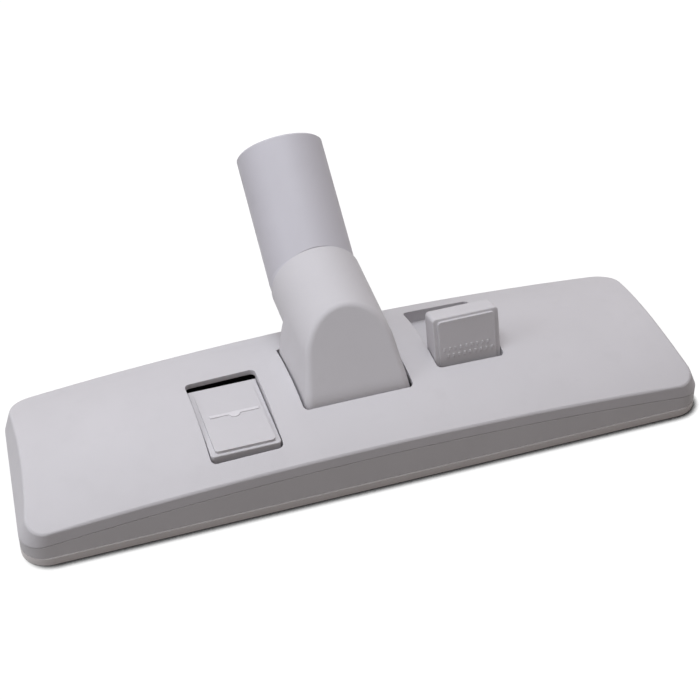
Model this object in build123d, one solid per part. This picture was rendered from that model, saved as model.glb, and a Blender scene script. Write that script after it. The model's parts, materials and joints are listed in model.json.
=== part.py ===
from build123d import *
import os
from math import acos, atan2, cos, degrees, hypot, radians, sin, tan

# Vacuum floor brush head: millimetres, +X along the head, +Y to the rear, +Z up, sole on z = 0.

# Outline of the head, seen from above, at the foot of its lip
head_length = 283.9
front_reach = 43.0
rear_reach = 42.9
rear_bow = 6.5
end_taper = 6.9
front_corner_radius = 10.5
rear_corner_radius = 14.0

# Walls and crown
lip_height = 3.4
lip_ledge = 0.1
lip_width = 2.4
lip_edge_radius = 0.15
sole_thickness = 1.8
floor_gap = 0.15
wall_draft = 8.3
shoulder_height = 9.0
end_lean_front = 24.0
end_lean_rear = 15.6
wall = 2.4
crown_height = 27.4
crown_radius = 90.7
crown_offset = 2.1
bow_radius = 1864.0
crease_radius = 1.3
parting_height = 14.7
parting_bow_radius = 1510.0
parting_gap = 0.2
base_floor = 2.2
floor_top = sole_thickness + base_floor

# Openings of the cover
pedal_centre = 49.8
pedal_opening_width = 29.0
pedal_opening_outer = 31.5
pedal_opening_inner = 11.7
neck_opening_width = 45.7
neck_opening_front = 18.0
neck_opening_rear = 22.3
opening_corner = 2.2
neck_rear_corner = 0.8
well_wall = 1.5
well_floor_height = 14.6
well_thickness = 1.4
well_start = 12.4
guide_rib_depth = 4.6

# Pedals
pedal_axis_height = 12.7
pedal_swing = 74.0
pedal_gap = 0.35
pedal_reach = 29.6
pedal_heel = 8.3
tread_outer = 10.9
tread_heel = 11.5
skirt_depth = 8.7
pedal_skin = 1.9
panel_inset = 2.0
panel_end_inset = 1.2
panel_step = 1.2
panel_heel = 6.0
panel_sink = 1.0
panel_corner = 1.5
pedal_edge_radius = 0.5
pedal_corner_radius = 1.6
hub_radius = 4.6
heel_lip = 3.0
web_inset = 0.4
journal_radius = 4.0
flat_depth = 0.5
flat_margin = 1.0
running_gap = 0.06
crank_throw = 5.0
crank_pin_radius = 1.8
crank_disc_radius = 7.2
crank_disc_width = 2.5
slot_gap = 0.25
side_gap = 0.5
mark_height = 0.3
mark_root = 0.5
mark_width = 1.4
mark_length = 20.2
floor_mark_reach = 8.9
floor_mark_shift = 0.6
bump_radius = 2.4
brush_mark_reach = 14.4
dash_count = 9
dash_width = 0.8
dash_length = 1.3
dash_pitch = 2.35
dash_row_pitch = 3.0
dash_stagger = 0.75

# Bearings of the pedals and of the neck
bearing_width = 3.8
bearing_half = 8.0
neck_bearing_half = 7.0
bearing_stand_off = 2.0
neck_bearing_gap = 1.0
bearing_cap_top = 2.0
neck_cap_top = 1.5
bearing_foot = 14.0
bearing_arch = 4.0
bearing_arch_cover = 2.0
bearing_screw_radius = 1.0
bearing_screw_head = 1.7
bearing_screw_head_height = 1.0
bearing_screw_length = 8.0
bearing_screw_sink = 0.2
bearing_head_gap = 0.1

# Brush carriage
brush_offset = 24.0
brush_bar_width = 8.0
brush_bar_height = 2.4
brush_end_margin = 28.8
brush_bar_length = head_length - 2 * brush_end_margin
brush_bar_clear = 0.3
cross_bar_width = 3.0
slot_wall = 2.2
end_bar_width = 6.0
end_bar_inset = 4.0
end_bar_centre = brush_bar_length / 2 - end_bar_inset
guide_offset = 15.0
guide_radius = 2.0
guide_top = 16.0
eyelet_radius = 4.0
eyelet_height = 3.8
strip_width = 6.0
strip_thickness = 1.5
bristle_width = 4.6
bristle_tip = 1.2
bristle_end_margin = 8.0
bristle_length_along = brush_bar_length - 2 * bristle_end_margin
bristle_slot_gap = 1.0
bristle_margin = 1.0

# Suction mouth and lint strips
mouth_end_margin = 22.8
mouth_length = head_length - 2 * mouth_end_margin
mouth_width = 18.0
mouth_rib = 6.0
lint_offset = 14.5
lint_width = 4.0
lint_end_margin = 33.0
lint_length = mouth_length - 2 * lint_end_margin
lint_thickness = 0.9

# Case screws
screw_end_margin = 16.8
screw_end_x = head_length / 2 - screw_end_margin
screw_end_front = 30.0
screw_end_rear = 27.0
screw_middle = 34.0
boss_radius = 3.2
boss_split = 11.0
screw_radius = 1.3
screw_gap = 0.06
screw_head_radius = 2.8
screw_head_height = 0.8
screw_tip = 13.8
screw_seat = 0.9
screw_head_gap = 0.3
pilot_spare = 0.5
recess_half = 1.8
recess_width = 0.7
recess_depth = 0.5

# Swivel elbow
neck_pivot_y = 2.15
neck_pivot_z = 19.4
drum_radius = 19.9
neck_side_gap = 0.7
shield_angle = 57.0
drum_front_angle = 195.0
drum_rear_angle = -18.0
elbow_radius = 19.15
elbow_pitch = 4.0
bend_y = 44.2
bend_z = 41.3
flare_drop = 13.2
elbow_wall = 2.0
elbow_crest_margin = 5.0
sector_overrun = 8.0
shield_edge_radius = 3.0
elbow_corner_radius = 2.6
underside_gap = 0.6
trunnion_radius = 3.0
trunnion_boss = 5.5
duct_radius = 16.0
elbow_end = -4.6
elbow_end_edge = 0.3
elbow_end_gap = 0.3

# Neck tube
tube_pitch = 34.1
tube_radius = 18.5
tube_bore = 16.0
tube_end = 56.0
socket_depth = 40.0
tube_edge = 0.7
spigot_radius = 17.2
spigot_length = 7.0
spigot_bore = 15.0
ring_width = 1.8
ring_groove_floor = 16.2
ring_outer = 17.9
ring_split = 3.0

# Detent springs
spring_width = 12.0
spring_thickness = 0.5
spring_flat = 9.0
spring_foot_inner = 10.0
spring_foot_outer = 13.0
spring_gap = 0.1

# Lengths of cutting shapes, well past the part, and the overshoot of a cut past a face
FAR = 80.0
TOP = 60.0
PAST = 1.0

# How near a corner must be to be picked
NEAR = 0.1

os.makedirs("parts", exist_ok=True)


def box(x, y, z):
    """Box between the given (low, high) pairs."""
    size = [high - low for low, high in (x, y, z)]
    centre = [(high + low) / 2 for low, high in (x, y, z)]
    return Pos(*centre) * Box(*size)


def head_plan(inset, height=0):
    """Outline of the head at a height, moved inwards by inset: straight front, tapered ends, bowed rear."""
    lean = inset + height * tan(radians(wall_draft))
    rise = max(height - shoulder_height, 0)
    half = head_length / 2 - inset - rise * tan(radians(end_lean_front))
    rear_half = head_length / 2 - end_taper - inset - rise * tan(radians(end_lean_rear))
    front = lean - front_reach
    rear_end = rear_reach - rear_bow - lean
    rear_middle = rear_reach - lean
    edges = Line((-half, front), (half, front))
    edges += Line((half, front), (rear_half, rear_end))
    edges += ThreePointArc((rear_half, rear_end), (0, rear_middle), (-rear_half, rear_end))
    edges += Line((-rear_half, rear_end), (-half, front))
    face = make_face(edges)
    face = fillet(face.vertices().sort_by(Axis.Y)[:2], front_corner_radius - lean)
    rear = [v for v in face.vertices() if v.Y > rear_end - NEAR and abs(v.X) > rear_half - NEAR]
    return fillet(rear, rear_corner_radius - lean)


def head_body(inset):
    """Block of the head with its walls moved inwards by inset: its ends lean in above the shoulder."""
    levels = (0, shoulder_height, crown_height + PAST)
    return loft([(Pos(0, 0, z) * head_plan(lip_ledge + inset, z)).face() for z in levels], ruled=True)


def under_arch(height, along_radius, side_radius):
    """Space under a top surface bowed along X and, where side_radius is given, crowned along Y."""
    reach = 2 * FAR
    rise = reach**2 / (2 * along_radius)
    fall = FAR**2 / (2 * side_radius) if side_radius else 0
    points = [
        [(x, y - crown_offset, height + bow + side) for y, side in ((-FAR, -fall), (0, fall), (FAR, -fall))]
        for x, bow in ((-reach, -rise), (0, rise), (reach, -rise))
    ]
    return extrude(Face.make_bezier_surface(points), 2 * FAR, dir=(0, 0, -1))


def under_crown(drop):
    """Space under the crowned top surface lowered by drop."""
    return under_arch(crown_height - drop, bow_radius, crown_radius)


def under_parting(drop):
    """Space under the arched joint between cover and base, lowered by drop."""
    return under_arch(parting_height - drop, parting_bow_radius, None)


def rounded_hole(x, y, low):
    """Prism with rounded corners between the given (low, high) pairs, upwards from low."""
    plan = RectangleRounded(x[1] - x[0], y[1] - y[0], opening_corner)
    return extrude(Pos((x[0] + x[1]) / 2, (y[0] + y[1]) / 2, low) * plan, TOP - low)


def rod(x, y, z, radius):
    """Cylinder along X between the (low, high) pair x."""
    return Pos((x[0] + x[1]) / 2, y, z) * Rot(0, 90, 0) * Cylinder(radius, x[1] - x[0])


def post(x, y, low, high, radius):
    """Upright cylinder."""
    return Pos(x, y, (low + high) / 2) * Cylinder(radius, high - low)


# Places that several pieces share
PEDAL_SIDES = {"left": -1, "right": 1}
pedal_width = pedal_opening_width - 2 * pedal_gap
case_screw_places = [(sx * screw_end_x, y) for sx in (-1, 1) for y in (-screw_end_front, screw_end_rear)]
case_screw_places += [(0, -screw_middle), (0, screw_middle)]
brush_travel = 2 * crank_throw * sin(radians(pedal_swing / 2))
bar_bottom = floor_top + brush_bar_clear + brush_travel
guide_places = [(sx * end_bar_centre, sy * guide_offset) for sx in (-1, 1) for sy in (-1, 1)]

# Distances from the middle plane along each pedal's shaft
pedal_inner_side = pedal_centre - pedal_width / 2
pedal_outer_side = pedal_centre + pedal_width / 2
inner_bearing = (pedal_inner_side - bearing_stand_off - bearing_width, pedal_inner_side - bearing_stand_off)
outer_bearing = (pedal_outer_side + bearing_stand_off, pedal_outer_side + bearing_stand_off + bearing_width)
crank_disc = (outer_bearing[1] + side_gap, outer_bearing[1] + side_gap + crank_disc_width)
slot_plate = (crank_disc[1] + side_gap, crank_disc[1] + side_gap + cross_bar_width)
crank_pin = (crank_disc[1], slot_plate[1] + side_gap)
crank_pin_y = crank_throw * cos(radians(pedal_swing / 2))
crank_pin_z = pedal_axis_height + crank_throw * sin(radians(pedal_swing / 2))
elbow_half = neck_opening_width / 2 - neck_side_gap
neck_bearing = (elbow_half + neck_bearing_gap, elbow_half + neck_bearing_gap + bearing_width)


def pedal_opening(side, grow, low):
    """Opening of one pedal, which points forward on the left and rearward on the right."""
    half = pedal_opening_width / 2 + grow
    x = (side * pedal_centre - half, side * pedal_centre + half)
    y = sorted((side * (pedal_opening_outer + grow), -side * (pedal_opening_inner + grow)))
    return rounded_hole(x, y, low)


def neck_opening():
    """Opening of the elbow: round front corners, tight rear corners."""
    half = neck_opening_width / 2
    middle = (neck_opening_rear - neck_opening_front) / 2
    plan = Pos(0, middle) * Rectangle(2 * half, neck_opening_rear + neck_opening_front)
    plan = fillet(plan.vertices().sort_by(Axis.Y)[:2], opening_corner)
    rear = [v for v in plan.vertices() if v.Y > neck_opening_rear - NEAR]
    return extrude(fillet(rear, neck_rear_corner), TOP)


def top_cover():
    """Crowned upper shell with its openings, pedal wells and screw bosses."""
    outside = head_body(0) & under_crown(0)
    crown = outside.faces().sort_by(Axis.Z)[-1]
    outside = fillet(crown.edges(), crease_radius)
    inside = head_body(wall) & under_crown(wall)
    cover = outside - inside - under_parting(0) - neck_opening()
    for side in PEDAL_SIDES.values():
        cover += pedal_well(side)
        cover -= pedal_opening(side, 0, well_floor_height)
    for x, y in case_screw_places:
        boss = post(x, y, boss_split, TOP, boss_radius) & under_crown(wall / 2)
        cover += boss - post(x, y, 0, screw_tip + pilot_spare, screw_radius + screw_gap)
    return cover


def pedal_well(side):
    """Solid blank for the well under a pedal's outer end and for the guide ribs beside its heel."""
    block = pedal_opening(side, well_wall, 0) & under_crown(wall / 2)
    ends = sorted((side * well_start, side * FAR))
    well = block & box((-FAR, FAR), ends, (well_floor_height - well_thickness, TOP))
    ends = sorted((side * well_start, side * (opening_corner - pedal_opening_inner)))
    ribs = (block - under_crown(guide_rib_depth)) & box((-FAR, FAR), ends, (0, TOP))
    return well + ribs


def base_frame():
    """Lower casing: floor, outer wall, bearing stands, guide pins and screw bosses."""
    ring = head_body(0) - head_body(wall)
    ring = ring & under_parting(parting_gap)
    ring = ring & box((-2 * FAR, 2 * FAR), (-FAR, FAR), (lip_height, TOP))
    floor = extrude(head_plan(lip_width + floor_gap), base_floor)
    frame = ring + Pos(0, 0, sole_thickness) * floor
    frame = frame - mouth_cut(0) - bristle_cut()
    for x, y in case_screw_places:
        frame += post(x, y, floor_top, boss_split, boss_radius)
        frame -= post(x, y, 0, boss_split + PAST, screw_radius + screw_gap)
    for x, y in guide_places:
        frame += post(x, y, floor_top, guide_top, guide_radius)
    for seat in BEARINGS.values():
        frame += bearing_stand(seat)
    return frame


def mouth_cut(rib):
    """Two long halves of the suction mouth beside a middle rib."""
    x = (rib / 2, mouth_length / 2)
    half = box(x, (-mouth_width / 2, mouth_width / 2), (-PAST, floor_top + PAST))
    return half + mirror(half, Plane.YZ)


def bristle_cut():
    """Slots for the two brush strips."""
    half_length = bristle_length_along / 2 + bristle_slot_gap
    half_width = strip_width / 2 + bristle_slot_gap
    cuts = [
        box((-half_length, half_length), (y - half_width, y + half_width), (-PAST, floor_top + PAST))
        for y in (-brush_offset, brush_offset)
    ]
    return cuts[0] + cuts[1]


def lint_blank(y, height):
    """Flat strip set into the sole."""
    return box((-lint_length / 2, lint_length / 2), (y - lint_width / 2, y + lint_width / 2), (0, height))


def sole_plate():
    """Bottom plate with its raised lip, suction mouth, brush slots and lint strip recesses."""
    lip = extrude(head_plan(0), lip_height)
    lip = fillet(lip.edges().group_by(Axis.Z)[-1], lip_edge_radius)
    pocket = Pos(0, 0, sole_thickness) * extrude(head_plan(lip_width), lip_height)
    plate = lip - pocket - mouth_cut(mouth_rib) - bristle_cut()
    for y in (-lint_offset, lint_offset):
        plate -= lint_blank(y, lint_thickness)
    for x, y in case_screw_places:
        plate -= post(x, y, -PAST, sole_thickness + PAST, screw_radius + screw_gap)
        plate -= post(x, y, -PAST, screw_seat, screw_head_radius + screw_head_gap)
    return plate


def case_screws():
    """Six screws from below that hold sole, base and cover together."""
    solids = []
    face = screw_seat - screw_head_height
    recess = Box(2 * recess_half, recess_width, 2 * recess_depth)
    recess += Box(recess_width, 2 * recess_half, 2 * recess_depth)
    for x, y in case_screw_places:
        head = post(x, y, face, screw_seat, screw_head_radius)
        screw = head + post(x, y, screw_seat, screw_tip, screw_radius)
        solids.append(screw - Pos(x, y, face) * recess)
    return Compound(solids)


# One seat per shaft bearing: sides along X, shaft centre, shaft radius, half length, cap thickness
BEARINGS = {}
for word, sign in PEDAL_SIDES.items():
    for place, span in (("inner", inner_bearing), ("outer", outer_bearing)):
        sides = tuple(sorted((sign * span[0], sign * span[1])))
        BEARINGS[f"{word}_{place}_cap"] = (
            sides, 0.0, pedal_axis_height, journal_radius, bearing_half, bearing_cap_top)
    sides = tuple(sorted((sign * neck_bearing[0], sign * neck_bearing[1])))
    BEARINGS[f"{word}_neck_cap"] = (
        sides, neck_pivot_y, neck_pivot_z, trunnion_radius, neck_bearing_half, neck_cap_top)


def bearing_screw_places(seat):
    """Screw centres in front of and behind the shaft."""
    x, y, z, radius, half, top = seat
    reach = (radius + half) / 2
    return [((x[0] + x[1]) / 2, y - reach), ((x[0] + x[1]) / 2, y + reach)]


def bearing_stand(seat):
    """Portal that straddles the suction mouth and holds the lower half of a bearing."""
    x, y, z, radius, half, top = seat
    arch_top = floor_top + bearing_arch
    foot = box(x, (-bearing_foot, bearing_foot), (floor_top, arch_top + bearing_arch_cover))
    column = box(x, (y - half, y + half), (arch_top, z))
    stand = foot + column
    stand -= box(x, (-mouth_width / 2, mouth_width / 2), (floor_top, arch_top))
    stand -= rod(x, y, z, radius + running_gap)
    for sx, sy in bearing_screw_places(seat):
        stand -= post(sx, sy, z - bearing_screw_length, z + PAST, bearing_screw_radius + screw_gap)
    return stand


def bearing_cap(seat):
    """Upper half of a bearing, with counterbores for its two screws."""
    x, y, z, radius, half, top = seat
    cap_top = z + radius + running_gap + top
    cap = box(x, (y - half, y + half), (z, cap_top)) - rod(x, y, z, radius + running_gap)
    for sx, sy in bearing_screw_places(seat):
        cap -= post(sx, sy, z - PAST, cap_top + PAST, bearing_screw_radius + screw_gap)
        head_seat = cap_top - bearing_screw_head_height - bearing_screw_sink
        cap -= post(sx, sy, head_seat, cap_top + PAST, bearing_screw_head + bearing_head_gap)
    return cap


def bearing_screws():
    """Two screws per bearing cap."""
    solids = []
    for seat in BEARINGS.values():
        x, y, z, radius, half, top = seat
        head_seat = z + radius + running_gap + top - bearing_screw_head_height - bearing_screw_sink
        for sx, sy in bearing_screw_places(seat):
            head = post(sx, sy, head_seat, head_seat + bearing_screw_head_height, bearing_screw_head)
            shank = post(sx, sy, z - bearing_screw_length + pilot_spare, head_seat, bearing_screw_radius)
            solids.append(head + shank)
    return Compound(solids)


def tread_shape():
    """Pedal pressed flat, pointing to +Y, its shaft on the X axis through the origin."""
    half = pedal_width / 2
    low = tread_outer - skirt_depth
    side = Polyline(
        (-pedal_heel, tread_heel), (pedal_reach, tread_outer), (pedal_reach, low), (well_start, low),
        (hub_radius - web_inset, 0), (web_inset - hub_radius, 0), (-pedal_heel, tread_heel - heel_lip),
        close=True)
    shell = extrude(Plane.YZ * make_face(side), half, both=True)
    shell = fillet(shell.edges().filter_by(Axis.Z).sort_by(Axis.Y)[-2:], pedal_corner_radius)
    upper = shell.faces().sort_by(Axis.Z)[-1]
    shell = fillet(upper.edges(), pedal_edge_radius)
    slope = (tread_outer - tread_heel) / (pedal_reach + pedal_heel)
    inner_ends = (pedal_skin - pedal_heel, pedal_reach - pedal_skin)
    hollow = Polyline(
        (inner_ends[0], tread_heel - pedal_skin), (inner_ends[1], tread_outer - pedal_skin),
        (inner_ends[1], -FAR), (inner_ends[0], -FAR), close=True)
    shell -= extrude(Plane.YZ * make_face(hollow), half - pedal_skin, both=True)
    outer = pedal_reach - panel_end_inset
    level = tread_outer - slope * panel_end_inset
    panel = Polyline(
        (-panel_heel, tread_heel + slope * (pedal_heel - panel_heel)), (outer, level + panel_step),
        (outer, level - panel_sink), (-panel_heel, tread_heel - panel_sink), close=True)
    wedge = extrude(Plane.YZ * make_face(panel), half - panel_inset, both=True)
    wedge = fillet(wedge.edges().filter_by(Axis.Z).sort_by(Axis.Y)[-2:], panel_corner)
    return shell + wedge


def panel_height(reach):
    """Height of the raised panel at a distance from the shaft."""
    slope = (tread_outer - tread_heel) / (pedal_reach + pedal_heel)
    rise = panel_step * (reach + panel_heel) / (pedal_reach - panel_end_inset + panel_heel)
    return tread_heel + slope * (reach + pedal_heel) + rise


def floor_mark():
    """Raised bar with a half-round bump: the hard floor setting."""
    y = floor_mark_reach
    z = (panel_height(y) - mark_root, panel_height(y) + mark_height)
    bar = box((-mark_length / 2, mark_length / 2), (y - mark_width / 2, y + mark_width / 2), z)
    bump = post(0, y, z[0], z[1], bump_radius) & box((-FAR, FAR), (y, FAR), z)
    return Pos(-floor_mark_shift, 0, 0) * (bar + bump)


def brush_mark():
    """Two staggered rows of raised dashes: the brush setting."""
    mark = Part()
    for row in (-1, 1):
        y = brush_mark_reach + row * dash_row_pitch / 2
        z = (panel_height(y) - mark_root, panel_height(y) + mark_height)
        for index in range(dash_count):
            x = (index - (dash_count - 1) / 2) * dash_pitch - row * dash_stagger
            across = (x - dash_width / 2, x + dash_width / 2)
            mark += box(across, (y - dash_length / 2, y + dash_length / 2), z)
    return mark


def pedal(side):
    """Tread, hub, journals and crank of one pedal, at rest: left pressed, right raised."""
    tread = tread_shape()
    if side < 0:
        tread = Rot(0, 0, 180) * (tread + floor_mark())
    else:
        tread = Rot(pedal_swing, 0, 0) * (tread + brush_mark())
    tread = Pos(side * pedal_centre, 0, pedal_axis_height) * tread
    hub = rod((-pedal_width / 2, pedal_width / 2), 0, 0, hub_radius)
    for turn in (0, pedal_swing):
        half = spring_width / 2 + flat_margin
        hub -= Rot(turn, 0, 0) * box((-half, half), (-FAR, FAR), (-FAR, flat_depth - hub_radius))
    body = tread + Pos(side * pedal_centre, 0, pedal_axis_height) * hub
    shaft = tuple(sorted((side * (inner_bearing[0] - side_gap), side * pedal_inner_side)))
    body += rod(shaft, 0, pedal_axis_height, journal_radius)
    shaft = tuple(sorted((side * pedal_outer_side, side * crank_disc[1])))
    body += rod(shaft, 0, pedal_axis_height, journal_radius)
    body += rod(tuple(sorted(side * x for x in crank_disc)), 0, pedal_axis_height, crank_disc_radius)
    body += rod(tuple(sorted(side * x for x in crank_pin)), crank_pin_y, crank_pin_z, crank_pin_radius)
    return body


def detent_spring(side):
    """Bent leaf that presses on the flats of a pedal's hub."""
    top = pedal_axis_height - hub_radius + flat_depth - spring_gap
    foot = floor_top + spring_thickness
    upper = [(-spring_foot_outer, foot), (-spring_foot_inner, foot), (-spring_flat / 2, top)]
    lower = [(y, z - spring_thickness) for y, z in upper]
    path = upper + [(-y, z) for y, z in reversed(upper)] + [(-y, z) for y, z in lower] + lower[::-1]
    leaf = extrude(Plane.YZ * make_face(Polyline(*path, close=True)), spring_width / 2, both=True)
    return Pos(side * pedal_centre, 0, 0) * leaf


def brush_carriage():
    """Sliding frame that carries both brush strips and the two crank slots."""
    z = (bar_bottom, bar_bottom + brush_bar_height)
    half = brush_bar_length / 2
    frame = Part()
    for y in (-brush_offset, brush_offset):
        frame += box((-half, half), (y - brush_bar_width / 2, y + brush_bar_width / 2), z)
    for side in PEDAL_SIDES.values():
        x = tuple(sorted(side * v for v in slot_plate))
        frame += box(x, (-brush_offset, brush_offset), z)
        slot_y = (crank_pin_y - crank_pin_radius - slot_gap, crank_throw + crank_pin_radius + slot_gap)
        slot_z = (crank_pin_z - crank_pin_radius - slot_gap, crank_pin_z + crank_pin_radius + slot_gap)
        frame += box(x, (slot_y[0] - slot_wall, slot_y[1] + slot_wall), (bar_bottom, slot_z[1] + slot_wall))
        frame -= box(x, slot_y, slot_z)
        x = (side * end_bar_centre - end_bar_width / 2, side * end_bar_centre + end_bar_width / 2)
        frame += box(x, (-brush_offset, brush_offset), z)
    for x, y in guide_places:
        frame += post(x, y, bar_bottom, bar_bottom + eyelet_height, eyelet_radius)
        frame -= post(x, y, 0, TOP, guide_radius + running_gap)
    return frame


def bristles(y):
    """Backing strip with its block of bristles."""
    half = bristle_length_along / 2
    strip_bottom = bar_bottom - strip_thickness
    strip = box((-half, half), (y - strip_width / 2, y + strip_width / 2), (strip_bottom, bar_bottom))
    block = (y - bristle_width / 2, y + bristle_width / 2)
    return strip + box((bristle_margin - half, half - bristle_margin), block, (bristle_tip, strip_bottom))


ELBOW_DIRECTION = Vector(0, cos(radians(elbow_pitch)), sin(radians(elbow_pitch)))
TUBE_DIRECTION = Vector(0, cos(radians(tube_pitch)), sin(radians(tube_pitch)))
ELBOW_PLANE = Plane(origin=(0, bend_y, bend_z), x_dir=(-1, 0, 0), z_dir=ELBOW_DIRECTION)
TUBE_PLANE = Plane(origin=(0, bend_y, bend_z), x_dir=(-1, 0, 0), z_dir=TUBE_DIRECTION)
block_rear = neck_opening_rear - neck_side_gap
ring_centre = elbow_end - spigot_length / 2


def drum_point(angle, radius):
    """Point in Y and Z on a circle around the tilt axis."""
    return (neck_pivot_y + radius * cos(radians(angle)), neck_pivot_z + radius * sin(radians(angle)))


def elbow_block(inset, overrun):
    """Drum, flat front shield and arched sides, all moved inwards by inset."""
    radius = drum_radius - inset
    touch_angle = 90 + shield_angle
    touch = drum_point(touch_angle, radius)
    crest_z = bend_z + elbow_radius + elbow_crest_margin
    crest_y = touch[0] + (crest_z - touch[1]) / tan(radians(shield_angle))
    rear = block_rear - inset
    rear_angle = degrees(acos((rear - neck_pivot_y) / radius))
    front_end = drum_front_angle + overrun
    rear_end = drum_rear_angle - overrun
    edges = Polyline(touch, (crest_y, crest_z), (rear, crest_z), drum_point(rear_angle, radius))
    edges += ThreePointArc(
        drum_point(rear_angle, radius), drum_point((rear_angle + rear_end) / 2, radius),
        drum_point(rear_end, radius))
    pivot = (neck_pivot_y, neck_pivot_z)
    edges += Polyline(drum_point(rear_end, radius), pivot, drum_point(front_end, radius))
    edges += ThreePointArc(
        drum_point(front_end, radius), drum_point((front_end + touch_angle) / 2, radius), touch)
    half = elbow_half - inset
    side = extrude(Plane.YZ * make_face(edges), half, both=True)
    return side & arched_prism(inset)


def arched_prism(inset):
    """Long prism with the elbow's arched section: round top, sides that flare to the drum's width."""
    half = elbow_half - inset
    radius = elbow_radius - inset
    span = hypot(half, flare_drop)
    turn = atan2(-flare_drop, half) + acos(radius / span)
    shoulder = (radius * cos(turn), radius * sin(turn))
    edges = Polyline(shoulder, (half, -flare_drop), (half, -FAR), (-half, -FAR), (-half, -flare_drop),
                     (-shoulder[0], shoulder[1]))
    edges += ThreePointArc((-shoulder[0], shoulder[1]), (0, radius), shoulder)
    return extrude(ELBOW_PLANE * make_face(edges), -FAR)


def behind_block(solid, inset):
    """Share of a solid that lies behind the elbow's block."""
    return solid & box((-FAR, FAR), (block_rear - inset, 2 * FAR), (-FAR, 2 * FAR))


def elbow_pipe(radius, inset):
    """Round rear part of the elbow, flattened underneath to clear the cover."""
    pipe = extrude(ELBOW_PLANE * Circle(radius), -FAR)
    pipe = behind_block(pipe, inset)
    return pipe - behind_block(under_crown(-underside_gap - inset), inset)


def elbow_cylinder(radius, start, end):
    """Cylinder on the elbow's axis between two distances from the bend."""
    return extrude(ELBOW_PLANE * Pos(0, 0, start) * Circle(radius), end - start)


def tube_cylinder(radius, start, end):
    """Cylinder on the tube's axis between two distances from the bend."""
    return extrude(TUBE_PLANE * Pos(0, 0, start) * Circle(radius), end - start)


def bent_rod(radius, start, end):
    """Round rod that follows the elbow's axis to the bend, then the tube's."""
    rod_in = elbow_cylinder(radius, start, 0)
    return rod_in + Pos(0, bend_y, bend_z) * Sphere(radius) + tube_cylinder(radius, 0, end)


def ring_groove(inner, outer):
    """Ring around the elbow's axis with running room for the retaining ring."""
    half = ring_width / 2 + running_gap
    ring = elbow_cylinder(outer, ring_centre - half, ring_centre + half)
    return ring - elbow_cylinder(inner, ring_centre - half, ring_centre + half)


def elbow_plan():
    """Upright prism that rounds the two rear corners of the elbow's block."""
    plan = Pos(0, block_rear - FAR / 2) * Rectangle(2 * elbow_half, FAR)
    return extrude(fillet(plan.vertices().sort_by(Axis.Y)[-2:], elbow_corner_radius), 2 * FAR)


def swivel_elbow():
    """Hollow elbow that tilts on two trunnions and holds the neck tube in its round end."""
    block = elbow_block(0, 0)
    flats = block.faces().filter_by(GeomType.PLANE)
    shield = [f for f in flats if f.normal_at().Y < -NEAR and f.normal_at().Z > NEAR][0]
    block = fillet(shield.edges().sort_by(Axis.Z)[1:], shield_edge_radius) & elbow_plan()
    pipe = elbow_pipe(elbow_radius, 0) - elbow_cylinder(FAR, elbow_end, FAR)
    rim = pipe.edges().filter_by(GeomType.CIRCLE).sort_by(Axis.Y)[-1:]
    body = block + chamfer(rim, elbow_end_edge)
    body -= elbow_block(elbow_wall, sector_overrun)
    body -= elbow_pipe(duct_radius, elbow_wall)
    body -= elbow_cylinder(spigot_radius + running_gap, elbow_end - spigot_length - elbow_end_gap, elbow_end)
    body -= ring_groove(duct_radius, ring_outer + running_gap)
    for side in PEDAL_SIDES.values():
        disc = tuple(sorted((side * (elbow_half - elbow_wall), side * elbow_half)))
        body += rod(disc, neck_pivot_y, neck_pivot_z, trunnion_boss)
        pin = tuple(sorted((side * elbow_half, side * neck_bearing[1])))
        body += rod(pin, neck_pivot_y, neck_pivot_z, trunnion_radius)
    return body


def neck_tube():
    """Bent tube with its socket at the free end and a grooved spigot that turns in the elbow."""
    shoulder = elbow_end + elbow_end_gap
    spigot_end = elbow_end - spigot_length
    body = bent_rod(tube_radius, shoulder, tube_end) - elbow_cylinder(FAR, -FAR, shoulder)
    rim = body.edges().filter_by(GeomType.CIRCLE).sort_by(Axis.Z)[-1:]
    body = chamfer(rim, tube_edge)
    body += elbow_cylinder(spigot_radius, spigot_end, shoulder)
    body -= bent_rod(spigot_bore, spigot_end, tube_end)
    body -= tube_cylinder(tube_bore, tube_end - socket_depth, tube_end)
    return body - ring_groove(ring_groove_floor, spigot_radius + PAST)


def retaining_ring():
    """Split ring that locks the tube in the elbow."""
    ends = (ring_centre - ring_width / 2, ring_centre + ring_width / 2)
    ring = elbow_cylinder(ring_outer, *ends) - elbow_cylinder(ring_groove_floor + running_gap, *ends)
    gap = ELBOW_PLANE * Pos(0, -ring_outer, ring_centre) * Box(ring_split, ring_outer, 2 * ring_width)
    return ring - gap


nodes = {
    "top_cover": top_cover(),
    "base_frame": base_frame(),
    "sole_plate": sole_plate(),
    "case_screws": case_screws(),
    "bearing_screws": bearing_screws(),
    "brush_carriage": brush_carriage(),
    "front_bristles": bristles(-brush_offset),
    "rear_bristles": bristles(brush_offset),
    "front_lint_strip": lint_blank(-lint_offset, lint_thickness),
    "rear_lint_strip": lint_blank(lint_offset, lint_thickness),
    "swivel_elbow": swivel_elbow(),
    "neck_tube": neck_tube(),
    "retaining_ring": retaining_ring(),
}
for word, sign in PEDAL_SIDES.items():
    nodes[f"{word}_pedal"] = pedal(sign)
    nodes[f"{word}_detent_spring"] = detent_spring(sign)
for word, seat in BEARINGS.items():
    nodes[word] = bearing_cap(seat)

for name, solid in nodes.items():
    export_step(solid, f"parts/{name}.step")
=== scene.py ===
import json
import random

import bpy
from mathutils import Matrix, Vector


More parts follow.
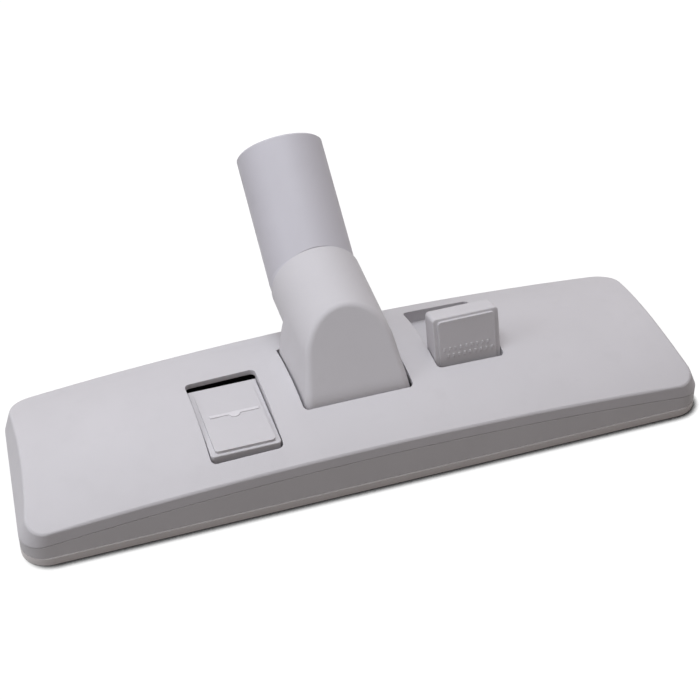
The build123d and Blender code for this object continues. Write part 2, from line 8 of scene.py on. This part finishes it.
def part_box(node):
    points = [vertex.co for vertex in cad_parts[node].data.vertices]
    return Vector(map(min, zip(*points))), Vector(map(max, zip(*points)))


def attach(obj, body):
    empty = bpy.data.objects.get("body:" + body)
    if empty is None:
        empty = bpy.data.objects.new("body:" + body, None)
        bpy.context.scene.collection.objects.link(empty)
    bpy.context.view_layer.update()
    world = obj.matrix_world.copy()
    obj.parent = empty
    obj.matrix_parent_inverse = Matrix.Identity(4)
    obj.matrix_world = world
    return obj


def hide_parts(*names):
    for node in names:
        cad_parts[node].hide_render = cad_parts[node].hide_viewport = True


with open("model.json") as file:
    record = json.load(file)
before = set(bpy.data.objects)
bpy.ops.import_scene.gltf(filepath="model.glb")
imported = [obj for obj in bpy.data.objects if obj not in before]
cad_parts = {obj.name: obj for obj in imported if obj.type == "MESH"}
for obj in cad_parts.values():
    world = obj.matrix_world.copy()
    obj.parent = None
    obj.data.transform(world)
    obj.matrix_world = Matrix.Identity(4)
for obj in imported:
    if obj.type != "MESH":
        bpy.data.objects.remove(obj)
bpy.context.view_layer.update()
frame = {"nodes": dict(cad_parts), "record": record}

MM = 0.001
FULL_TURN = 6.283185
WHITE = (1.0, 1.0, 1.0, 1.0)
NODES = frame["nodes"]


# Node helpers

class Graph:
    """Nodes of a material or world being built: adds nodes and links them by socket name."""

    def __init__(self, owner, shader="Principled BSDF"):
        owner.use_nodes = True
        self.owner = owner
        self.tree = owner.node_tree
        self.shader = self.tree.nodes[shader]

    def add(self, kind, values=None, **settings):
        """New node with its settings made and its sockets fed."""
        node = self.tree.nodes.new(kind)
        for key, value in settings.items():
            setattr(node, key, value)
        for key, value in (values or {}).items():
            self.feed(node.inputs[key], value)
        return node

    def feed(self, socket, value):
        """Links a node's output to the socket, or sets a constant on it."""
        if isinstance(value, bpy.types.NodeSocket):
            self.tree.links.new(value, socket)
        else:
            socket.default_value = value

    def set(self, **values):
        """Feeds the main shader, with spaces written as underscores."""
        for key, value in values.items():
            self.feed(self.shader.inputs[key.replace("_", " ")], value)

    def place(self):
        """Point on the surface in the part's own frame."""
        return self.add("ShaderNodeTexCoord").outputs["Object"]

    def split(self, vector):
        """X, Y and Z of a vector."""
        return self.add("ShaderNodeSeparateXYZ", {"Vector": vector}).outputs

    def noise(self, size, detail=2.0, roughness=0.5, where=None):
        """Noise with features of about that size in metres."""
        values = {"Vector": where or self.place(), "Scale": 1 / size}
        values.update({"Detail": detail, "Roughness": roughness})
        return self.add("ShaderNodeTexNoise", values).outputs["Fac"]

    def stretched(self, scale, rotation=(0.0, 0.0, 0.0)):
        """Place on the surface, squeezed and turned, for streaks."""
        values = {"Vector": self.place(), "Scale": scale, "Rotation": rotation}
        return self.add("ShaderNodeMapping", values).outputs["Vector"]

    def ramp(self, fac, low, high, start=0.0, end=1.0):
        """Maps fac from start..end to low..high, held at both ends."""
        values = {"Value": fac, "From Min": start, "From Max": end, "To Min": low, "To Max": high}
        return self.add("ShaderNodeMapRange", values).outputs["Result"]

    def math(self, operation, a, b):
        node = self.add("ShaderNodeMath", operation=operation)
        self.feed(node.inputs[0], a)
        self.feed(node.inputs[1], b)
        return node.outputs[0]

    def mix(self, fac, a, b):
        """Colour a where fac is 0, b where it is 1."""
        node = self.add("ShaderNodeMix", {"Factor": fac}, data_type="RGBA")
        self.feed(node.inputs["A"], a)
        self.feed(node.inputs["B"], b)
        return node.outputs["Result"]

    def rounded(self, radius):
        """Normal with the edges rounded off by radius."""
        return self.add("ShaderNodeBevel", {"Radius": radius}, samples=6).outputs["Normal"]

    def bump(self, height, strength, distance, normal=None):
        values = {"Height": height, "Strength": strength, "Distance": distance}
        if normal:
            values["Normal"] = normal
        return self.add("ShaderNodeBump", values).outputs["Normal"]

    def edges(self, radius):
        """1 along edges and corners within radius, 0 on open faces."""
        plain = self.add("ShaderNodeNewGeometry").outputs["Normal"]
        dot = self.add("ShaderNodeVectorMath", operation="DOT_PRODUCT")
        self.feed(dot.inputs[0], self.rounded(radius))
        self.feed(dot.inputs[1], plain)
        return self.ramp(dot.outputs["Value"], 1.0, 0.0, 0.80, 0.995)

    def ledges(self):
        """1 on faces that look up, 0 on walls."""
        facing = self.add("ShaderNodeNewGeometry").outputs["Normal"]
        return self.ramp(self.split(facing)["Z"], 0.0, 1.0, 0.15, 0.6)


def shade(colour, factor):
    """Colour made lighter or darker, with its alpha."""
    return (colour[0] * factor, colour[1] * factor, colour[2] * factor, 1.0)


# Kinds of material

def moulded_plastic(
        name, colour, roughness, grain, depth, wear_and_highlight=0.10, edge=0.35 * MM, painted_ledge_shade=False, mark=None):
    """Matt moulded plastic: etched grain, slow tone and gloss changes, lighter edges that are partly
    worn plastic and partly painted highlight, fine scuffs, and on request painted shade on faces that
    look up and a painted highlight on a raised mark.
    """
    g = Graph(bpy.data.materials.new(name))
    tone = g.noise(38 * MM, 3.0)
    cloud = g.noise(9 * MM, 4.0, 0.6)
    patches = g.ramp(g.noise(3.5 * MM, 3.0), 0.25, 1.0, 0.35, 0.65)
    edge_patches = g.math("MULTIPLY", g.edges(0.8 * MM), patches)
    base = g.mix(g.ramp(tone, 0.0, 1.0, 0.3, 0.7), shade(colour, 0.975), shade(colour, 1.02))
    base = g.mix(g.ramp(cloud, 0.0, 0.5, 0.55, 0.8), base, shade(colour, 0.955))
    # Edges made lighter: partly worn plastic, partly painted highlight (mostly painted highlight on the
    # pedals).
    base = g.mix(g.math("MULTIPLY", edge_patches, wear_and_highlight), base, shade(colour, 1.3))
    # Painted shade: faces that look up are darkened, which tones down the lit ledge of the sole's lip.
    if painted_ledge_shade:
        base = g.mix(g.ledges(), base, shade(colour, 0.55))
    # Painted highlight: the raised mark is made lighter, as if its top caught the light.
    if mark:
        base = g.mix(mark(g), base, shade(colour, 1.16))
    along_scuffs = g.stretched((0.12, 1.0, 1.0), (0.0, 0.0, 0.5))
    scuff = g.ramp(g.noise(1.6 * MM, 2.0, 0.5, along_scuffs), 0.0, 0.05, 0.66, 0.78)
    gloss = g.ramp(cloud, roughness - 0.05, roughness + 0.05, 0.3, 0.7)
    gloss = g.math("SUBTRACT", gloss, scuff)
    gloss = g.math("SUBTRACT", gloss, g.math("MULTIPLY", edge_patches, 0.10))
    coarse = g.noise(2.6 * grain, 2.0)
    height = g.math("ADD", g.noise(grain, 3.0, 0.6), g.math("MULTIPLY", coarse, 0.7))
    g.set(Base_Color=base, Roughness=gloss, Normal=g.bump(height, 0.8, depth, g.rounded(edge)))
    g.set(IOR=1.46, Specular_IOR_Level=0.4)
    return g.owner


def mark_highlight_mask(g):
    """1 on the left pedal's mark, which stands above the plane of its panel: where the painted highlight
    goes.
    """
    panel_level = 24.278 * MM
    panel_slope = 0.01905
    at = g.split(g.place())
    level = g.math("ADD", at["Z"], g.math("MULTIPLY", at["Y"], panel_slope))
    raised = g.ramp(level, 0.0, 1.0, panel_level + 0.08 * MM, panel_level + 0.14 * MM)
    return g.math("MULTIPLY", raised, g.ramp(at["X"], 1.0, 0.0, -1 * MM, 1 * MM))


def plated_steel(name, colour):
    """Zinc plated steel: fine drawn grain, cloudy plating and bright edges."""
    g = Graph(bpy.data.materials.new(name))
    drawn = g.noise(0.25 * MM, 3.0, 0.6, g.stretched((0.06, 1.0, 1.0)))
    cloud = g.noise(2.2 * MM, 4.0, 0.6)
    base = g.mix(g.ramp(cloud, 0.0, 1.0, 0.3, 0.7), shade(colour, 0.82), shade(colour, 1.08))
    base = g.mix(g.math("MULTIPLY", g.edges(0.4 * MM), 0.6), base, shade(colour, 1.25))
    gloss = g.math("ADD", g.ramp(cloud, 0.22, 0.38, 0.3, 0.7), g.math("MULTIPLY", drawn, 0.1))
    g.set(Base_Color=base, Roughness=gloss, Normal=g.bump(drawn, 0.5, 0.01 * MM), Metallic=1.0)
    return g.owner


def filament(name, colour, size, sheen):
    """Nylon fibres: each lit a little differently, with dust in patches."""
    g = Graph(bpy.data.materials.new(name))
    each = g.noise(size, 1.0)
    dust = g.noise(6 * MM, 3.0)
    streak = g.noise(0.2 * MM, 2.0)
    base = g.mix(g.ramp(each, 0.0, 1.0, 0.3, 0.7), shade(colour, 0.6), shade(colour, 1.5))
    base = g.mix(g.ramp(dust, 0.0, 0.35, 0.5, 0.8), base, shade(DUST, 1.0))
    g.set(Base_Color=base, Roughness=g.ramp(each, 0.38, 0.6), Normal=g.bump(streak, 0.4, 0.02 * MM))
    g.set(Sheen_Weight=sheen, Sheen_Roughness=0.4)
    return g.owner


# Materials of the record's slots

COVER = (0.61, 0.60, 0.62)
BASE = (0.58, 0.57, 0.58)
SOLE = (0.74, 0.71, 0.70)
PEDAL = (0.61, 0.60, 0.62)
ELBOW = (0.61, 0.60, 0.62)
TUBE = (0.57, 0.56, 0.60)
MECHANISM = (0.04, 0.04, 0.045)
BRISTLE = (0.03, 0.03, 0.032)
LINT = (0.36, 0.04, 0.04)
STEEL = (0.62, 0.62, 0.63)
DUST = (0.22, 0.21, 0.20)

MATT = {"roughness": 0.58, "grain": 0.45 * MM, "depth": 0.030 * MM}
MATT_FINE = {"roughness": 0.58, "grain": 0.45 * MM, "depth": 0.028 * MM}
SATIN = {"roughness": 0.50, "grain": 0.50 * MM, "depth": 0.018 * MM}
SATIN_LIP = {"roughness": 0.48, "grain": 0.50 * MM, "depth": 0.018 * MM, "wear_and_highlight": 0.05, "edge": 0.08 * MM}
BLACK = {"roughness": 0.45, "grain": 0.40 * MM, "depth": 0.020 * MM}

FINISH = {
    "cover_plastic": moulded_plastic("cover_plastic", COVER, **MATT),
    "base_plastic": moulded_plastic("base_plastic", BASE, **MATT),
    "sole_plastic": moulded_plastic("sole_plastic", SOLE, **SATIN_LIP, painted_ledge_shade=True),
    "pedal_plastic": moulded_plastic("pedal_plastic", PEDAL, **SATIN, wear_and_highlight=0.6, mark=mark_highlight_mask),
    "elbow_plastic": moulded_plastic("elbow_plastic", ELBOW, **MATT_FINE),
    "tube_plastic": moulded_plastic("tube_plastic", TUBE, **SATIN),
    "mechanism_plastic": moulded_plastic("mechanism_plastic", MECHANISM, **BLACK),
    "bristle": filament("bristle", BRISTLE, size=0.5 * MM, sheen=0.1),
    "lint_fabric": filament("lint_fabric", LINT, size=0.4 * MM, sheen=0.5),
    "steel": plated_steel("steel", STEEL),
}
SLOT_OF = {part["node"]: part["material_slot"] for part in frame["record"]["subparts"]}
for node_name, node in NODES.items():
    node.data.materials.clear()
    node.data.materials.append(FINISH[SLOT_OF[node_name]])


# Brush tufts and lint pile

def make_piece(name, verts, faces, slot, body, node):
    """Flat-shaded mesh piece that stands for a CAD node and rides on its body."""
    mesh = bpy.data.meshes.new(name)
    mesh.from_pydata(verts, [], faces, shade_flat=True)
    mesh.materials.append(FINISH[slot])
    mesh.validate()
    piece = bpy.data.objects.new(name, mesh)
    bpy.context.scene.collection.objects.link(piece)
    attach(piece, body)
    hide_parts(node)


def unit(angle):
    """Direction at that angle in the floor's plane."""
    return Matrix.Rotation(angle, 2) @ Vector((1, 0))


def add_fibre(verts, faces, points, radii, sides):
    """Closed tapering fibre along the points, with rings in the horizontal plane."""
    start = len(verts)
    ring = [unit(FULL_TURN * i / sides) for i in range(sides)]
    for point, radius in zip(points, radii):
        verts.extend((point[0] + radius * r.x, point[1] + radius * r.y, point[2]) for r in ring)
    for level in range(len(points) - 1):
        low, high = start + level * sides, start + (level + 1) * sides
        for i in range(sides):
            j = (i + 1) % sides
            faces.append((low + j, low + i, high + i, high + j))
    faces.append(tuple(start + i for i in range(sides)))
    last = start + (len(points) - 1) * sides
    faces.append(tuple(last + sides - 1 - i for i in range(sides)))


def add_rounded_bar(verts, faces, low, high, round_off):
    """Closed bar between two corners with its long edges chamfered."""
    y0, y1, z0, z1 = low[1], high[1], low[2], high[2]
    section = [
        (y0 + round_off, z0), (y1 - round_off, z0), (y1, z0 + round_off), (y1, z1 - round_off),
        (y1 - round_off, z1), (y0 + round_off, z1), (y0, z1 - round_off), (y0, z0 + round_off),
    ]
    start, count = len(verts), len(section)
    for x in (low[0], high[0]):
        verts.extend((x, y, z) for y, z in section)
    for i in range(count):
        j = (i + 1) % count
        faces.append((start + i, start + j, start + count + j, start + count + i))
    faces.append(tuple(start + count - 1 - i for i in range(count)))
    faces.append(tuple(start + count + i for i in range(count)))


def brush_strip(node, seed):
    """Backing strip with two staggered rows of nylon tufts."""
    backing = 1.5 * MM
    chamfer = 0.3 * MM
    sunk = 0.2 * MM
    end_margin = 4 * MM
    pitch = 3.6 * MM
    stagger = 0.25
    row = 1.15 * MM
    fibres = 18
    hole_radius = 0.6 * MM
    splay_along, splay_across = 1.3 * MM, 1.0 * MM
    half_width = 2.15 * MM
    uneven = 0.35
    bow = 0.35
    radii = (0.13 * MM, 0.12 * MM, 0.08 * MM)
    draw = random.Random(seed)
    low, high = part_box(node)
    verts, faces = [], []
    add_rounded_bar(verts, faces, (low.x, low.y, high.z - backing), high, chamfer)
    root = high.z - backing + sunk
    middle = (low.y + high.y) / 2
    count = int((high.x - low.x - end_margin) / pitch)
    for side in (-1, 1):
        for index in range(count):
            x = (low.x + high.x) / 2 + (index - (count - 1) / 2 + side * stagger) * pitch
            for _ in range(fibres):
                angle = draw.uniform(0, FULL_TURN)
                away = unit(angle) * draw.random() ** 0.5
                splay = Vector((away.x * splay_along, away.y * splay_across))
                foot = Vector((x + away.x * hole_radius, middle + side * row + away.y * hole_radius))
                tip = foot + splay * draw.uniform(0.3, 0.9)
                tip.y = min(max(tip.y, middle - half_width), middle + half_width)
                end = low.z + draw.uniform(0.0, uneven) * MM
                bend = foot.lerp(tip, bow)
                points = [(*foot, root), (*bend, (root + end) / 2), (*tip, end)]
                add_fibre(verts, faces, points, radii, sides=4)
    return verts, faces


def lint_pile(node, seed):
    """Woven backing with short fibres that all lean one way."""
    backing = 0.3 * MM
    chamfer = 0.05 * MM
    sunk = 0.05 * MM
    step = 0.5 * MM
    loose = 0.3
    radii = (0.14 * MM, 0.09 * MM)
    draw = random.Random(seed)
    low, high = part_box(node)
    lean = 0.45 * MM if low.y < 0 else -0.45 * MM
    verts, faces = [], []
    add_rounded_bar(verts, faces, (low.x, low.y, high.z - backing), high, chamfer)
    root = high.z - backing + sunk
    middle = (low.y + high.y - lean) / 2
    along = int((high.x - low.x) / step) - 2
    across = int((high.y - low.y - abs(lean)) / step) - 1
    for i in range(along):
        for j in range(across):
            x = low.x + (i + 1.2 + draw.uniform(-loose, loose)) * step
            y = middle + (j - (across - 1) / 2 + draw.uniform(-loose, loose)) * step
            end = low.z + draw.uniform(0.02, 0.16) * MM
            tip_x = x + draw.uniform(-0.1, 0.1) * MM
            tip_y = y + lean * draw.uniform(0.7, 1.0)
            add_fibre(verts, faces, [(x, y, root), (tip_x, tip_y, end)], radii, sides=3)
    return verts, faces


for seed, node_name in enumerate(("front_bristles", "rear_bristles")):
    made = brush_strip(node_name, seed)
    make_piece(node_name.replace("bristles", "brush_tufts"), *made, "bristle", "brush", node_name)
for seed, node_name in enumerate(("front_lint_strip", "rear_lint_strip"), start=10):
    made = lint_pile(node_name, seed)
    make_piece(node_name.replace("strip", "pile"), *made, "lint_fabric", "housing", node_name)


# Camera at the photograph's place

CAMERA_PLACE = (-0.165678, -0.506256, 0.506574)
RIGHT = Vector((0.949601, -0.313463, 0.000688))
DOWN = Vector((-0.206952, -0.628611, -0.749672))
FORWARD = Vector((0.235427, 0.711750, -0.661809))

camera = bpy.data.objects.new("camera", bpy.data.cameras.new("camera"))
camera.data.sensor_width = 36.0
camera.data.lens = 91.50
camera.data.clip_start = 0.01
camera.data.clip_end = 50.0
turn = Matrix((RIGHT, -DOWN, -FORWARD)).transposed().to_4x4()
camera.matrix_world = Matrix.Translation(CAMERA_PLACE) @ turn
bpy.context.scene.collection.objects.link(camera)
bpy.context.scene.camera = camera


# Floor and background

FLOOR_HALF = 4.0
FLOOR_LEVEL = -0.2 * MM
FLOOR_WHITE = 0.97
FLOOR_LIT = (0.08, 0.08, 0.08, 1.0)
SHADOW_REACH = 4.3 * MM
SHADOW_AIM = {"X": -0.35, "Y": 0.70, "Z": 0.62}
SKY_FRONT = 0.25
SKY_REAR = 0.42
SKY_TINT = (1.0, 0.88, 0.84, 1.0)


def seen_directly(g):
    """1 for rays from the camera, mirrors and glass, 0 for rays that carry light."""
    path = g.add("ShaderNodeLightPath").outputs
    seen = g.math("MAXIMUM", path["Is Camera Ray"], path["Is Glossy Ray"])
    return g.math("MAXIMUM", seen, path["Is Transmission Ray"])


def floor_material():
    """Pale floor: white with a contact shadow where it is seen, and grey where it bounces light."""
    g = Graph(bpy.data.materials.new("studio_floor"))
    aim = g.add("ShaderNodeCombineXYZ", SHADOW_AIM).outputs["Vector"]
    near = g.add("ShaderNodeAmbientOcclusion", {"Distance": SHADOW_REACH, "Normal": aim}, samples=16)
    glow = g.ramp(near.outputs["AO"], 0.0, FLOOR_WHITE, 0.45, 0.72)
    white = g.add("ShaderNodeEmission", {"Strength": glow}).outputs["Emission"]
    lit = g.add("ShaderNodeBsdfDiffuse", {"Color": FLOOR_LIT}).outputs["BSDF"]
    shown = g.add("ShaderNodeAddShader")
    g.feed(shown.inputs[0], white)
    g.feed(shown.inputs[1], lit)
    dull = g.ramp(g.noise(120 * MM, 2.0), 0.16, 0.19)
    bounce = g.add("ShaderNodeBsdfDiffuse", {"Color": dull}).outputs["BSDF"]
    both = g.add("ShaderNodeMixShader", {"Fac": seen_directly(g)})
    g.feed(both.inputs[1], bounce)
    g.feed(both.inputs[2], shown.outputs["Shader"])
    g.feed(g.tree.nodes["Material Output"].inputs["Surface"], both.outputs["Shader"])
    return g.owner


def studio_world():
    """White where it is seen. As light it is soft and warm, and dimmer towards the front."""
    g = Graph(bpy.data.worlds.new("studio"), "Background")
    aim = g.split(g.add("ShaderNodeTexCoord").outputs["Generated"])
    glow = g.ramp(aim["Y"], SKY_FRONT, SKY_REAR, -0.9, 0.4)
    seen = seen_directly(g)
    g.set(Color=g.mix(seen, SKY_TINT, WHITE), Strength=g.ramp(seen, glow, 1.0))
    return g.owner


floor_mesh = bpy.data.meshes.new("floor")
square = ((-1, -1), (1, -1), (1, 1), (-1, 1))
corners = [(x * FLOOR_HALF, y * FLOOR_HALF, FLOOR_LEVEL) for x, y in square]
floor_mesh.from_pydata(corners, [], [(0, 1, 2, 3)])
floor_mesh.materials.append(floor_material())
floor = bpy.data.objects.new("floor", floor_mesh)
bpy.context.scene.collection.objects.link(floor)
bpy.context.scene.world = studio_world()


# Lamps

LAMP_TARGET = Vector((0.0, 0.0, 0.02))


def softbox(name, place, size, power, colour):
    """Square area lamp that faces the part."""
    lamp = bpy.data.lights.new(name, "AREA")
    lamp.shape = "SQUARE"
    lamp.size = size
    lamp.energy = power
    lamp.color = colour
    box = bpy.data.objects.new(name, lamp)
    box.location = place
    box.rotation_mode = "QUATERNION"
    box.rotation_quaternion = (LAMP_TARGET - Vector(place)).to_track_quat("-Z", "Y")
    bpy.context.scene.collection.objects.link(box)


softbox("key", (-0.06, 0.08, 1.00), size=0.60, power=5.6, colour=(0.90, 0.94, 1.0))
softbox("side", (-0.68, -0.05, 0.45), size=0.45, power=1.8, colour=(0.89, 0.935, 1.0))

bpy.context.scene.view_settings.view_transform = "Standard"
